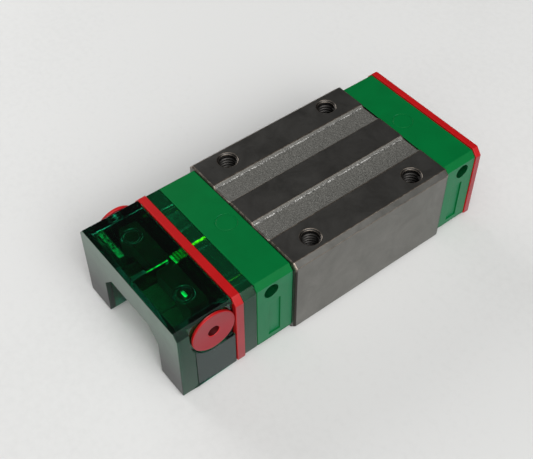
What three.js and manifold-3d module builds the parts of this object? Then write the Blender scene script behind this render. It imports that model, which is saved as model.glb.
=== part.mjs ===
// Linear guide carriage, size 15, with a self-lubricating oil cartridge at one end.
// Millimetres. X runs across the carriage, Y along its travel, +Z up.
// The origin is the centre of the steel block's ground mounting face.
// The oil cartridge is at the -Y end.

import * as THREE from "three";
import Module from "manifold-3d";
import { mergeVertices } from "three/addons/utils/BufferGeometryUtils.js";

// ---------------------------------------------------------------- driving dimensions

const GAP = 0.05; // clearance between flat faces that touch

const BLOCK = {
  length: 39.4,
  halfWidth: 17,
  bottom: -19.7,
  edgeBevel: 1,
  channelHalf: 8.6,
  channelTop: -7.2,
  legStep: -17.3,
  legStepX: 10.4,
};

const LAND = { inner: 3.35, outer: 8.85, slope: 0.6, depth: 0.45 };

// Four M4 holes: the drilled radius, without the thread.
const TAPPED = { offset: 13, radius: 1.65, mouthRadius: 2.15, depth: 6, tip: 7 };

const CAP = {
  depth: 8.4,
  halfWidth: 16.2,
  top: -0.45,
  bottom: -18.4,
  bevelWidth: 1.1,
  bevelHeight: 1.3,
};

const CONNECTOR_DEPTH = 3;

const SEAL = {
  depth: 1.8,
  halfWidth: 16.45,
  top: -0.2,
  bottom: -18.6,
  bevelWidth: 1.3,
  bevelHeight: 1.6,
};

const CARTRIDGE = {
  depth: 12.5,
  halfWidth: 16.2,
  top: -0.45,
  bottom: -19,
  bevelWidth: 1.1,
  bevelHeight: 1.4,
  wall: 1.2,
  sideWall: 1.6,
  channelHalf: 9.05,
  channelTop: -7.1,
  cornerX: 6.2,
  cornerZ: -10.3,
  lidDepth: 2,
  dimpleGap: 0.3,
  dimpleSpace: 0.2,
  ribHalf: 0.4,
  ribDepth: 9.2,
};

// The channel that the rail runs in. The groove noses follow the rail's raceways.
const CHANNEL = { half: 7.9, top: -8.5, shoulder: 1.2, noseHalf: 0.75, noseBase: 1.5 };
const CAP_NOSE_X = 7.1;
const SEAL_NOSE_X = 6.85;

const BALL = {
  radius: 1.5875,
  count: 12,
  neck: 0.4,
  loadX: 8.3,
  returnX: 12.8,
  upperZ: -11.2,
  lowerZ: -15.4,
  grooveRadius: 1.7,
  boreRadius: 1.78,
};

const TURN_DEPTH = 4.3;
const GUIDE = { halfWidth: 0.45, length: 1.5, top: -9.2, bottom: -17.2 };

const GREASE_PORT = { radius: 1.6, depth: 4.5, z: -3.8, inset: 5.05 };
const SIDE_PANEL = { near: 2.9, far: 5.6, top: -7.05, bottom: -17, depth: 0.35 };

const END_SCREW = {
  x: 11,
  z: -4.4,
  radius: 0.95,
  point: 0.4,
  headRadius: 1.8,
  headDepth: 0.8,
  headRound: 0.3,
  recessHalf: 0.28,
  recessReach: 0.95,
  recessDepth: 0.5,
  grip: 4,
};
const END_PORT = {
  z: -3.9,
  radius: 2.1,
  screwRadius: 1.95,
  screwLength: 5,
  screwPoint: 0.4,
  screwEdge: 0.25,
  socketRadius: 0.9,
  socketDepth: 1.5,
};

const PLUG = {
  z: -5.05,
  back: 4.7,
  radius: 4.65,
  faceX: 16.2,
  discDepth: 0.65,
  spigotRadius: 2,
  spigotEnd: 12.6,
  holeRadius: 1.2,
  holeDepth: 2.2,
  edge: 0.12,
  nosing: 0.3,
};
const PLUG_POCKET = { front: 10.15, bottom: -10.1, depth: 0.7 };

const NOZZLE = {
  halfWidth: 1.35,
  top: -2.5,
  bottom: -5.3,
  overhang: 0.5,
  boreRadius: 0.5,
  tipRadius: 1.3,
  tipLength: 3.2,
};

// A wick stands off the tank's walls. The step over its leg leaves room for the plug.
const WICK = {
  inner: 0.9,
  outer: 11.9,
  legInner: 10.7,
  legOuter: 14.1,
  top: -2,
  depth: 4,
  lidGap: 0.6,
  floorGap: 0.4,
  roofGap: 0.3,
  cornerGap: 0.9,
  plugGap: 1,
};
const FELT = { depth: 1.4, outer: 13.8, top: -6.25, bottom: -16.8 };

const RETAINER = { half: 7.9, top: -7.35, bottom: -8.3, lipX: 6.6, lipBottom: -8.95, lead: 0.4 };
const STRIP = { inner: 7.75, outer: 8.5, top: -12.95, bottom: -13.65, lead: 0.15 };
const DUST_SEAL = {
  lipX: 7.75,
  outer: 10.25,
  top: -17.4,
  bottom: -18.5,
  lipTop: -17.9,
  lipBottom: -18.15,
  back: 0.7,
  foot: 0.9,
};

// ---------------------------------------------------------------- places along the travel

const BLOCK_END = BLOCK.length / 2;
const CAP_IN = BLOCK_END + GAP;
const CAP_OUT = CAP_IN + CAP.depth;
const CONNECTOR_IN = CAP_OUT + GAP;
const CONNECTOR_OUT = CONNECTOR_IN + CONNECTOR_DEPTH;
const FAR_SEAL_OUT = CAP_OUT + GAP + SEAL.depth;
const NEAR_SEAL_IN = CONNECTOR_OUT + GAP;
const NEAR_SEAL_OUT = NEAR_SEAL_IN + SEAL.depth;
const CARTRIDGE_IN = NEAR_SEAL_OUT + GAP;
const PLUG_Y = -(CARTRIDGE_IN + PLUG.back);

// ---------------------------------------------------------------- materials

function material(color, roughness, metalness) {
  return () => new THREE.MeshStandardMaterial({ color, roughness, metalness });
}

const groundSteel = material(0x6b6a66, 0.45, 0.9);
const brightSteel = material(0xb9bcc0, 0.2, 1);
const darkScrew = material(0x34353a, 0.4, 0.9);
const greenPlastic = material(0x0a7a3f, 0.45, 0);
const darkGreenPlastic = material(0x0b3b26, 0.12, 0);
const redPlastic = material(0xc21e24, 0.45, 0);
const blackPlastic = material(0x1d1f20, 0.55, 0);
const felt = material(0xb8b09a, 0.95, 0);

// ---------------------------------------------------------------- solids and cuts

const wasm = await Module();
wasm.setup();

// Leaves out triangles with two corners in one place, which a turned profile has on its axis.
function wholeTriangles(indices) {
  const kept = [];
  for (let i = 0; i < indices.length; i += 3) {
    const [a, b, c] = indices.slice(i, i + 3);
    if (a !== b && b !== c && c !== a) {
      kept.push(a, b, c);
    }
  }
  return kept;
}

function toSolid(geometry) {
  const bare = geometry.index ? geometry.toNonIndexed() : geometry.clone();
  bare.deleteAttribute("normal");
  bare.deleteAttribute("uv");
  const merged = mergeVertices(bare, 1e-4);
  const mesh = new wasm.Mesh({
    numProp: 3,
    vertProperties: new Float32Array(merged.attributes.position.array),
    triVerts: new Uint32Array(wholeTriangles(merged.index.array)),
  });
  return new wasm.Manifold(mesh);
}

function toGeometry(solid) {
  const mesh = solid.getMesh();
  const geometry = new THREE.BufferGeometry();
  geometry.setAttribute("position", new THREE.BufferAttribute(mesh.vertProperties, 3));
  geometry.setIndex(new THREE.BufferAttribute(mesh.triVerts, 1));
  geometry.computeVertexNormals();
  return geometry;
}

function cut(geometry, cutters) {
  let solid = toSolid(geometry);
  for (const cutter of cutters) {
    solid = solid.subtract(toSolid(cutter));
  }
  return toGeometry(solid);
}

function join(geometry, additions) {
  let solid = toSolid(geometry);
  for (const addition of additions) {
    solid = solid.add(toSolid(addition));
  }
  return toGeometry(solid);
}

// An X-Z outline made solid from y = start to y = start + depth.
function alongY(shape, depth, start = 0, curveSegments = 8) {
  const geometry = new THREE.ExtrudeGeometry(shape, {
    depth,
    bevelEnabled: false,
    curveSegments,
  });
  geometry.rotateX(Math.PI / 2);
  geometry.translate(0, start + depth, 0);
  return geometry;
}

function boxBetween(low, high) {
  const size = high.map((value, axis) => value - low[axis]);
  const geometry = new THREE.BoxGeometry(...size);
  geometry.translate(...low.map((value, axis) => value + size[axis] / 2));
  return geometry;
}

// A turned solid: the profile is [radius, height] pairs, the axis is +Y.
function turned(profile, segments) {
  const points = profile.map(([radius, height]) => new THREE.Vector2(radius, height));
  return new THREE.LatheGeometry(points, segments);
}

function polygon(points) {
  return new THREE.Shape(points.map(([x, z]) => new THREE.Vector2(x, z)));
}

// A shape symmetric about X = 0, from the points of its +X half, top to bottom. The edges
// that cross X = 0 are level, so no point is needed there.
function mirrored(half) {
  const other = half.map(([x, z]) => [-x, z]).reverse();
  return polygon([...half, ...other]);
}

function arcPoints(cx, cz, radius, from, to, steps) {
  const points = [];
  for (let i = 0; i <= steps; i += 1) {
    const angle = from + ((to - from) * i) / steps;
    points.push([cx + radius * Math.cos(angle), cz + radius * Math.sin(angle)]);
  }
  return points;
}

function node(name, geometry, makeMaterial, place = [0, 0, 0]) {
  const mesh = new THREE.Mesh(geometry, makeMaterial());
  mesh.name = name;
  mesh.position.set(...place);
  return mesh;
}

// ---------------------------------------------------------------- U-shaped outlines

// The bevelled outer corner of a plate, top edge to bottom edge.
function outerCorner(size) {
  return [
    [size.halfWidth - size.bevelWidth, size.top],
    [size.halfWidth, size.top - size.bevelHeight],
    [size.halfWidth, size.bottom],
  ];
}

// The channel wall from its foot up to the roof, with a nose in each rail raceway.
function channelWall(noseX, bottom) {
  const wall = [[CHANNEL.half, bottom]];
  for (const z of [BALL.lowerZ, BALL.upperZ]) {
    wall.push([CHANNEL.half, z - CHANNEL.noseBase]);
    wall.push([noseX, z - CHANNEL.noseHalf]);
    wall.push([noseX, z + CHANNEL.noseHalf]);
    wall.push([CHANNEL.half, z + CHANNEL.noseBase]);
  }
  wall.push([CHANNEL.half - CHANNEL.shoulder, CHANNEL.top]);
  return wall;
}

function plateOutline(size, noseX) {
  return mirrored([
    ...outerCorner(size),
    ...channelWall(noseX, size.bottom),
  ]);
}

// ---------------------------------------------------------------- steel block

function blockOutline() {
  const { halfWidth, edgeBevel, bottom, channelHalf, channelTop, legStep, legStepX } = BLOCK;
  const floor = -LAND.depth;
  const reach = Math.acos((channelHalf - BALL.loadX) / BALL.grooveRadius);
  const raceway = (z) => arcPoints(BALL.loadX, z, BALL.grooveRadius, -reach, reach, 6);
  return mirrored([
    [LAND.inner, 0],
    [LAND.inner + LAND.slope, floor],
    [LAND.outer - LAND.slope, floor],
    [LAND.outer, 0],
    [halfWidth - edgeBevel, 0],
    [halfWidth, -edgeBevel],
    [halfWidth, bottom + edgeBevel],
    [halfWidth - edgeBevel, bottom],
    [legStepX, bottom],
    [legStepX, legStep],
    [channelHalf, legStep],
    ...raceway(BALL.lowerZ),
    ...raceway(BALL.upperZ),
    [channelHalf, channelTop],
  ]);
}

function returnBore(x, z) {
  const bore = new THREE.Path();
  bore.absarc(x, z, BALL.boreRadius, 0, Math.PI * 2, false);
  return bore;
}

// A drilled and countersunk hole, standing on the mounting face and cut downwards.
function tappedHoleCutter(x, y) {
  const { radius, mouthRadius, depth, tip } = TAPPED;
  const above = 0.5;
  const chamfer = mouthRadius - radius;
  const profile = [
    [0, -tip],
    [radius, -depth],
    [radius, -chamfer],
    [mouthRadius, 0],
    [mouthRadius, above],
    [0, above],
  ];
  const cutter = turned(profile, 20);
  cutter.rotateX(Math.PI / 2);
  cutter.translate(x, y, 0);
  return cutter;
}

// A round bar along Y between two planes, used to cut holes and as a spigot.
function roundAlongY(x, z, radius, from, to, segments = 16) {
  const bar = new THREE.CylinderGeometry(radius, radius, to - from, segments);
  bar.translate(x, (from + to) / 2, z);
  return bar;
}

function steelBlock() {
  const outline = blockOutline();
  for (const side of [-1, 1]) {
    for (const z of [BALL.upperZ, BALL.lowerZ]) {
      outline.holes.push(returnBore(side * BALL.returnX, z));
    }
  }
  const blank = alongY(outline, BLOCK.length, -BLOCK_END, 7);
  const cutters = [];
  for (const side of [-1, 1]) {
    for (const end of [-1, 1]) {
      cutters.push(tappedHoleCutter(side * TAPPED.offset, end * TAPPED.offset));
      const inner = end * (BLOCK_END - END_SCREW.grip - GAP);
      const outer = end * (BLOCK_END + 1);
      const from = Math.min(inner, outer);
      const to = Math.max(inner, outer);
      const radius = END_SCREW.radius + GAP;
      cutters.push(roundAlongY(side * END_SCREW.x, END_SCREW.z, radius, from, to));
    }
  }
  return node("steel_block", cut(blank, cutters), groundSteel);
}

// ---------------------------------------------------------------- end caps

// The stadium-shaped pocket that turns one ball row from its raceway into its return bore.
function turnPocket(side, z, from, to) {
  const centre = (side * (BALL.loadX + BALL.returnX)) / 2;
  const half = (BALL.returnX - BALL.loadX) / 2;
  const right = arcPoints(centre + half, z, BALL.boreRadius, -Math.PI / 2, Math.PI / 2, 6);
  const left = arcPoints(centre - half, z, BALL.boreRadius, Math.PI / 2, Math.PI * 1.5, 6);
  return alongY(polygon([...right, ...left]), to - from, from);
}

// The cap at the +Y end; the near cap is the same piece turned half round about Z.
function capGeometry() {
  const blank = alongY(plateOutline(CAP, CAP_NOSE_X), CAP.depth, CAP_IN);
  const mouth = CAP_IN - 1;
  const cutters = [];
  for (const side of [-1, 1]) {
    for (const z of [BALL.upperZ, BALL.lowerZ]) {
      cutters.push(turnPocket(side, z, mouth, CAP_IN + TURN_DEPTH));
    }
    const slotX = (side * (BALL.loadX + BALL.returnX)) / 2;
    const slotHalf = GUIDE.halfWidth + GAP;
    cutters.push(
      boxBetween(
        [slotX - slotHalf, mouth, GUIDE.bottom - GAP],
        [slotX + slotHalf, CAP_IN + GUIDE.length + GAP, GUIDE.top + GAP],
      ),
    );
    const screwHole = END_SCREW.radius + GAP;
    cutters.push(roundAlongY(side * END_SCREW.x, END_SCREW.z, screwHole, mouth, CAP_OUT + 1));
    cutters.push(greasePortCutter(side));
    cutters.push(sidePanelCutter(side));
  }
  const portStart = CAP_OUT - END_PORT.screwLength - GAP;
  cutters.push(roundAlongY(0, END_PORT.z, END_PORT.screwRadius + GAP, portStart, CAP_OUT + 1));
  return cut(blank, cutters);
}

function greasePortCutter(side) {
  const length = GREASE_PORT.depth + 1;
  const cutter = new THREE.CylinderGeometry(GREASE_PORT.radius, GREASE_PORT.radius, length, 20);
  cutter.rotateZ(Math.PI / 2);
  const middle = CAP.halfWidth + 1 - length / 2;
  cutter.translate(side * middle, CAP_IN + GREASE_PORT.inset, GREASE_PORT.z);
  return cutter;
}

function sidePanelCutter(side) {
  const inner = CAP.halfWidth - SIDE_PANEL.depth;
  const outer = CAP.halfWidth + 1;
  const low = side > 0 ? inner : -outer;
  const high = side > 0 ? outer : -inner;
  return boxBetween(
    [low, CAP_IN + SIDE_PANEL.near, SIDE_PANEL.bottom],
    [high, CAP_IN + SIDE_PANEL.far, SIDE_PANEL.top],
  );
}

// The half-round core between a raceway and its return bore, in one leg of a cap.
function returnGuide(name, side, end) {
  const { halfWidth, length, top, bottom } = GUIDE;
  const nose = arcPoints(0, length - halfWidth, halfWidth, 0, Math.PI, 5);
  const outline = polygon([[-halfWidth, 0], [halfWidth, 0], ...nose]);
  const geometry = new THREE.ExtrudeGeometry(outline, {
    depth: top - bottom,
    bevelEnabled: false,
  });
  const guide = node(name, geometry, blackPlastic);
  const centre = (BALL.loadX + BALL.returnX) / 2;
  guide.position.set(side * centre, end * CAP_IN, bottom);
  guide.rotation.z = end > 0 ? 0 : Math.PI;
  return guide;
}

// ---------------------------------------------------------------- seals and connector

function endHoles(from, to, portRadius) {
  const holes = [-1, 1].map((side) =>
    roundAlongY(side * END_SCREW.x, END_SCREW.z, END_SCREW.radius + GAP, from, to),
  );
  holes.push(roundAlongY(0, END_PORT.z, portRadius, from, to));
  return holes;
}

function endSeal(name, start) {
  const blank = alongY(plateOutline(SEAL, SEAL_NOSE_X), SEAL.depth);
  const geometry = cut(blank, endHoles(-1, SEAL.depth + 1, END_PORT.radius));
  return node(name, geometry, redPlastic, [0, start, 0]);
}

// The pocket for the felt opens towards the seal and into the channel.
function connectorPlate() {
  const blank = alongY(plateOutline(CAP, CAP_NOSE_X), CONNECTOR_DEPTH);
  const cutters = endHoles(-1, CONNECTOR_DEPTH + 1, NOZZLE.tipRadius + GAP);
  const outer = FELT.outer + GAP;
  cutters.push(boxBetween([-outer, -1, FELT.bottom - GAP], [outer, FELT.depth + GAP, FELT.top + GAP]));
  return node("oil_connector_plate", cut(blank, cutters), darkGreenPlastic, [0, -CONNECTOR_OUT, 0]);
}

function conveyorFelt() {
  const outline = mirrored([
    [FELT.outer, FELT.top],
    [FELT.outer, FELT.bottom],
    ...channelWall(SEAL_NOSE_X, FELT.bottom),
  ]);
  const geometry = alongY(outline, FELT.depth);
  return node("oil_conveyor_felt", geometry, felt, [0, -CONNECTOR_OUT, 0]);
}

// ---------------------------------------------------------------- oil cartridge

function cartridgeOutline(inset, sideInset) {
  const { halfWidth, top, bottom, bevelWidth, bevelHeight } = CARTRIDGE;
  const { channelHalf, channelTop, cornerX, cornerZ } = CARTRIDGE;
  return mirrored([
    [halfWidth - bevelWidth - sideInset, top - inset],
    [halfWidth - sideInset, top - bevelHeight - inset],
    [halfWidth - sideInset, bottom + inset],
    [channelHalf + inset, bottom + inset],
    [channelHalf + inset, cornerZ + inset / 2],
    [cornerX + inset / 2, channelTop + inset],
  ]);
}

// A plug's pocket in the side wall and the filling hole at its centre.
function plugCutters(side) {
  const inner = CARTRIDGE.halfWidth - PLUG_POCKET.depth;
  const outer = CARTRIDGE.halfWidth + 1;
  const pocket = boxBetween(
    [side > 0 ? inner : -outer, CARTRIDGE.depth - PLUG_POCKET.front, PLUG_POCKET.bottom],
    [side > 0 ? outer : -inner, CARTRIDGE.depth + 1, 1],
  );
  const wallIn = CARTRIDGE.halfWidth - CARTRIDGE.sideWall - 0.5;
  const hole = new THREE.CylinderGeometry(
    PLUG.spigotRadius + GAP,
    PLUG.spigotRadius + GAP,
    outer - wallIn,
    20,
  );
  hole.rotateZ(Math.PI / 2);
  hole.translate((side * (outer + wallIn)) / 2, CARTRIDGE.depth - PLUG.back, PLUG.z);
  return [pocket, hole];
}

// Local y runs from the front face (0) to the open back (CARTRIDGE.depth).
function oilCartridge() {
  const { depth, wall, sideWall, ribHalf, ribDepth, top, channelTop } = CARTRIDGE;
  const blank = alongY(cartridgeOutline(0, 0), depth);
  const cavity = alongY(cartridgeOutline(wall, sideWall), depth, wall);
  const hollow = cut(blank, [cavity, ...plugCutters(-1), ...plugCutters(1)]);
  const inWall = wall / 2;
  const rib = boxBetween(
    [-ribHalf, inWall, channelTop + inWall],
    [ribHalf, ribDepth, top - inWall],
  );
  return node("oil_cartridge", join(hollow, [rib]), darkGreenPlastic, [0, -CARTRIDGE_IN - depth, 0]);
}

// Closes the tank's back. It has a window for the nozzle and dimples over the end screws.
function cartridgeLid() {
  const { wall, sideWall, lidDepth, dimpleGap, dimpleSpace } = CARTRIDGE;
  const blank = alongY(cartridgeOutline(wall + GAP, sideWall + GAP), lidDepth);
  const dimpleDepth = END_SCREW.headDepth + dimpleSpace;
  const cutters = [-1, 1].map((side) =>
    roundAlongY(
      side * END_SCREW.x,
      END_SCREW.z,
      END_SCREW.headRadius + dimpleGap,
      lidDepth - dimpleDepth,
      lidDepth + 1,
    ),
  );
  const half = NOZZLE.halfWidth + GAP;
  cutters.push(boxBetween([-half, -1, NOZZLE.bottom - GAP], [half, lidDepth + 1, NOZZLE.top + GAP]));
  const start = -CARTRIDGE_IN - lidDepth;
  return node("cartridge_lid", cut(blank, cutters), darkGreenPlastic, [0, start, 0]);
}

// The square block and its round tip, which reaches through the seal into the connector.
function feedNozzle() {
  const { halfWidth, top, bottom, overhang, boreRadius, tipRadius, tipLength } = NOZZLE;
  const blockDepth = CARTRIDGE.lidDepth + overhang;
  const block = boxBetween([-halfWidth, 0, bottom], [halfWidth, blockDepth, top]);
  const tip = roundAlongY(0, END_PORT.z, tipRadius, blockDepth / 2, blockDepth + tipLength);
  const channel = roundAlongY(0, END_PORT.z, boreRadius, -1, blockDepth + tipLength + 1, 8);
  const body = cut(join(block, [tip]), [channel]);
  return node("feed_nozzle", body, darkGreenPlastic, [0, -CARTRIDGE_IN - blockDepth, 0]);
}

// A wick lies in the back of one half of the tank: an arm over the channel and a leg.
function oilWick(name, side) {
  const { inner, outer, legInner, legOuter, top, depth, cornerGap } = WICK;
  const { wall, bottom, channelTop, cornerX, cornerZ, lidDepth } = CARTRIDGE;
  const roof = channelTop + wall + WICK.roofGap;
  const floor = bottom + wall + WICK.floorGap;
  const legTop = PLUG.z - PLUG.spigotRadius - WICK.plugGap;
  const points = [
    [inner, top],
    [outer, top],
    [outer, legTop],
    [legOuter, legTop],
    [legOuter, floor],
    [legInner, floor],
    [legInner, cornerZ + cornerGap],
    [cornerX + cornerGap, roof],
    [inner, roof],
  ];
  const outline = polygon(points.map(([x, z]) => [side * x, z]));
  const start = -CARTRIDGE_IN - lidDepth - WICK.lidGap - depth;
  return node(name, alongY(outline, depth), felt, [0, start, 0]);
}

// A round plug: disc, spigot and blind centre hole, turned about its own axis.
function fillPlug(name, side) {
  const { radius, faceX, discDepth, spigotRadius, spigotEnd, holeRadius, holeDepth } = PLUG;
  const { edge, nosing } = PLUG;
  const profile = [
    [0, spigotEnd],
    [spigotRadius - nosing, spigotEnd],
    [spigotRadius, spigotEnd + nosing],
    [spigotRadius, faceX - discDepth],
    [radius, faceX - discDepth],
    [radius, faceX - edge],
    [radius - edge, faceX],
    [holeRadius, faceX],
    [holeRadius, faceX - holeDepth],
    [0, faceX - holeDepth],
  ];
  const plug = node(name, turned(profile, 32), redPlastic, [0, PLUG_Y, PLUG.z]);
  plug.rotation.z = (-side * Math.PI) / 2;
  return plug;
}

// ---------------------------------------------------------------- balls

// A row of touching balls as one turned string; each ball has a full-size equator.
function ballRow(name, x, z, segments) {
  const { radius, count, neck } = BALL;
  const shoulder = radius * Math.cos(Math.PI / 4);
  const profile = [[0, -count * radius]];
  for (let i = 0; i < count; i += 1) {
    const centre = (2 * i + 1 - count) * radius;
    if (i > 0) {
      profile.push([neck, centre - radius]);
    }
    profile.push([shoulder, centre - shoulder]);
    profile.push([radius, centre]);
    profile.push([shoulder, centre + shoulder]);
  }
  profile.push([0, count * radius]);
  return node(name, turned(profile, segments), brightSteel, [x, 0, z]);
}

// ---------------------------------------------------------------- retainers and dust seals

function upperRetainer() {
  const { half, top, bottom, lipX, lipBottom, lead } = RETAINER;
  const outline = mirrored([
    [half, top],
    [half, lipBottom + lead / 2],
    [half - lead, lipBottom],
    [lipX + lead, lipBottom],
    [lipX, bottom],
  ]);
  const geometry = alongY(outline, BLOCK.length);
  return node("upper_ball_retainer", geometry, blackPlastic, [0, -BLOCK_END, 0]);
}

function sideRetainer(name, side) {
  const { inner, outer, top, bottom, lead } = STRIP;
  const points = [
    [outer, top],
    [outer, bottom],
    [inner + lead, bottom],
    [inner, (top + bottom) / 2],
    [inner + lead, top],
  ];
  const outline = polygon(points.map(([x, z]) => [side * x, z]));
  return node(name, alongY(outline, BLOCK.length), blackPlastic, [0, -BLOCK_END, 0]);
}

function dustSeal(name, side) {
  const { lipX, outer, top, bottom, lipTop, lipBottom, back, foot } = DUST_SEAL;
  const points = [
    [outer, top],
    [outer, bottom],
    [lipX + foot, bottom],
    [lipX, lipBottom],
    [lipX, lipTop],
    [lipX + back, top],
  ];
  const outline = polygon(points.map(([x, z]) => [side * x, z]));
  return node(name, alongY(outline, BLOCK.length), redPlastic, [0, -BLOCK_END, 0]);
}

// ---------------------------------------------------------------- screws

// A cross-recessed screw along Y: its head's top is at headOut, its tip at the inner end.
function endScrew(name, side, end, sealOut) {
  const { radius, point, headRadius, headDepth, headRound, grip } = END_SCREW;
  const { recessHalf, recessReach, recessDepth } = END_SCREW;
  const headOut = sealOut + GAP + headDepth;
  const tip = BLOCK_END - grip;
  const profile = [
    [0, tip],
    [radius - point, tip],
    [radius, tip + point],
    [radius, headOut - headDepth],
    [headRadius, headOut - headDepth],
    [headRadius, headOut - headRound],
    [headRadius - headRound, headOut],
    [0, headOut],
  ];
  const floor = headOut - recessDepth;
  const blank = turned(profile, 16);
  const arms = [
    boxBetween([-recessReach, floor, -recessHalf], [recessReach, headOut + 1, recessHalf]),
    boxBetween([-recessHalf, floor, -recessReach], [recessHalf, headOut + 1, recessReach]),
  ];
  const screw = node(name, cut(blank, arms), darkScrew, [side * END_SCREW.x, 0, END_SCREW.z]);
  screw.rotation.z = end > 0 ? 0 : Math.PI;
  return screw;
}

// The set screw that closes the unused grease port in the far end face.
function greasePlugScrew() {
  const { screwRadius, screwLength, screwPoint, screwEdge, socketRadius, socketDepth, z } = END_PORT;
  const start = CAP_OUT - screwLength;
  const profile = [
    [0, start],
    [screwRadius - screwPoint, start],
    [screwRadius, start + screwPoint],
    [screwRadius, CAP_OUT - screwEdge],
    [screwRadius - screwEdge, CAP_OUT],
    [0, CAP_OUT],
  ];
  const socket = roundAlongY(0, 0, socketRadius, CAP_OUT - socketDepth, CAP_OUT + 1, 6);
  return node("grease_plug_screw", cut(turned(profile, 16), [socket]), darkScrew, [0, 0, z]);
}

// ---------------------------------------------------------------- assembly

const carriage = new THREE.Group();
carriage.name = "linear_guide_carriage";

carriage.add(steelBlock());

const capSolid = capGeometry();
const farCap = node("far_end_cap", capSolid, greenPlastic);
const nearCap = node("near_end_cap", capSolid.clone(), greenPlastic);
nearCap.rotation.z = Math.PI;
carriage.add(farCap, nearCap);

for (const [endName, end] of [["near", -1], ["far", 1]]) {
  for (const [sideName, side] of [["left", -1], ["right", 1]]) {
    carriage.add(returnGuide(`${endName}_${sideName}_return_guide`, side, end));
    const sealOut = end > 0 ? FAR_SEAL_OUT : NEAR_SEAL_OUT;
    carriage.add(endScrew(`${endName}_${sideName}_end_screw`, side, end, sealOut));
  }
}

carriage.add(endSeal("far_end_seal", CAP_OUT + GAP));
carriage.add(endSeal("near_end_seal", -NEAR_SEAL_OUT));
carriage.add(connectorPlate(), conveyorFelt(), greasePlugScrew());

for (const [sideName, side] of [["left", -1], ["right", 1]]) {
  for (const [levelName, z] of [["upper", BALL.upperZ], ["lower", BALL.lowerZ]]) {
    carriage.add(ballRow(`${levelName}_${sideName}_load_balls`, side * BALL.loadX, z, 8));
    carriage.add(ballRow(`${levelName}_${sideName}_return_balls`, side * BALL.returnX, z, 6));
  }
  carriage.add(sideRetainer(`${sideName}_side_retainer`, side));
  carriage.add(dustSeal(`${sideName}_dust_seal`, side));
}
carriage.add(upperRetainer());

const cartridge = new THREE.Group();
cartridge.name = "lubrication_cartridge";
cartridge.add(oilCartridge(), cartridgeLid(), feedNozzle());
for (const [sideName, side] of [["left", -1], ["right", 1]]) {
  cartridge.add(oilWick(`${sideName}_oil_wick`, side));
  cartridge.add(fillPlug(`${sideName}_fill_plug`, side));
}
carriage.add(cartridge);

export default carriage;
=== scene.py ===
import math

import bmesh
import bpy
from mathutils import Matrix, Vector


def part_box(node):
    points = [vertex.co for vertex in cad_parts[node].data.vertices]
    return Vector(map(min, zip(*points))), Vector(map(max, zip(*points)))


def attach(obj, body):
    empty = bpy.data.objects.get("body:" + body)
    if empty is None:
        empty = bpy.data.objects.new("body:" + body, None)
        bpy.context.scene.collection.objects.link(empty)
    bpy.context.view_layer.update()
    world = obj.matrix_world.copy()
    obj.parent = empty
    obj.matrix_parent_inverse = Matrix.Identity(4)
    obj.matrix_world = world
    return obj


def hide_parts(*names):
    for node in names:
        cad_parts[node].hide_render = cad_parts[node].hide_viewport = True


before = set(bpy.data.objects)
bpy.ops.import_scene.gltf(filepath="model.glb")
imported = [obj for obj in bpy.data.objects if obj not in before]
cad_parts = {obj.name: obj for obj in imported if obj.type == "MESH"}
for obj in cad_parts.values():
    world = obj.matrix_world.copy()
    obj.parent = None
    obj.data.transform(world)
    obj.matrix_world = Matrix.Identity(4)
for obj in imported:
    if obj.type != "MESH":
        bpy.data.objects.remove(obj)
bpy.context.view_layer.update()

# The looks of a linear guide carriage with a self-lubricating oil cartridge. Lengths in this
# file are millimetres in the CAD frame until a mesh is written, which is in metres.

MM = 0.001


def span(node):
    """Lowest and highest corner of a CAD node, in millimetres."""
    low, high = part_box(node)
    return low / MM, high / MM


# ---- sizes from the frame

BLOCK_LOW, BLOCK_HIGH = span("steel_block")
PLATE_LOW, PLATE_HIGH = span("oil_connector_plate")
TANK_LOW, TANK_HIGH = span("oil_cartridge")
LID_LOW, LID_HIGH = span("cartridge_lid")
PLUG_LOW, PLUG_HIGH = span("right_fill_plug")
NOZZLE_LOW, NOZZLE_HIGH = span("feed_nozzle")
BALLS_LOW, BALLS_HIGH = span("upper_right_load_balls")

BALL_RADIUS = (BALLS_HIGH.z - BALLS_LOW.z) / 2
BALL_COUNT = 12
LOAD_X = 8.3
RETURN_X = 12.8
UPPER_Z = -11.2
LOWER_Z = -15.4

# ---- sizes of the fine shapes

GAP = 0.05  # clearance around a screw or an inserted piece
PAST = 1.0  # how far a cutter reaches outside what it cuts
OVERLAP = 0.3  # how far an added solid reaches into the one it joins
ON_FACE = 0.01  # a face nearer than this to a place lies on it
NEAR = 0.1  # the same for an edge beside a rounded or cut corner

EDGE_BEVEL = 1.0
END_CHAMFER = 0.42
LAND_INNER = 3.35
LAND_OUTER = 8.85
GROOVE_SLOPE = 0.6
GROOVE_DEPTH = 0.45
FOOT_WALL = 0.12
FOOT_RISE = 0.09
FOOT_FLOOR = 0.15
CHANNEL_HALF = 8.6
CHANNEL_TOP = -7.2
RACEWAY_RADIUS = 1.7
BORE_RADIUS = 1.78
LEG_STEP_X = 10.4
LEG_STEP_Z = -17.3
HOLE_OFFSET = 13.0
HOLE_RADIUS = 1.82
HOLE_MOUTH = 2.15
HOLE_DEPTH = 6.0
HOLE_TIP = 7.0
HOLE_FLARE = 0.5
HOLE_AREA = 3.0
THREAD_PITCH = 0.7
THREAD_CREST = 1.6
THREAD_CREST_HALF = 0.06
THREAD_ROOT_HALF = 0.27
THREAD_TOP = 0.45
THREAD_RUNOUT = 0.8
THREAD_THINNEST = 0.02
BLOCK_SCREW_RADIUS = 1.0
BLOCK_SCREW_DEPTH = 4.1

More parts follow.
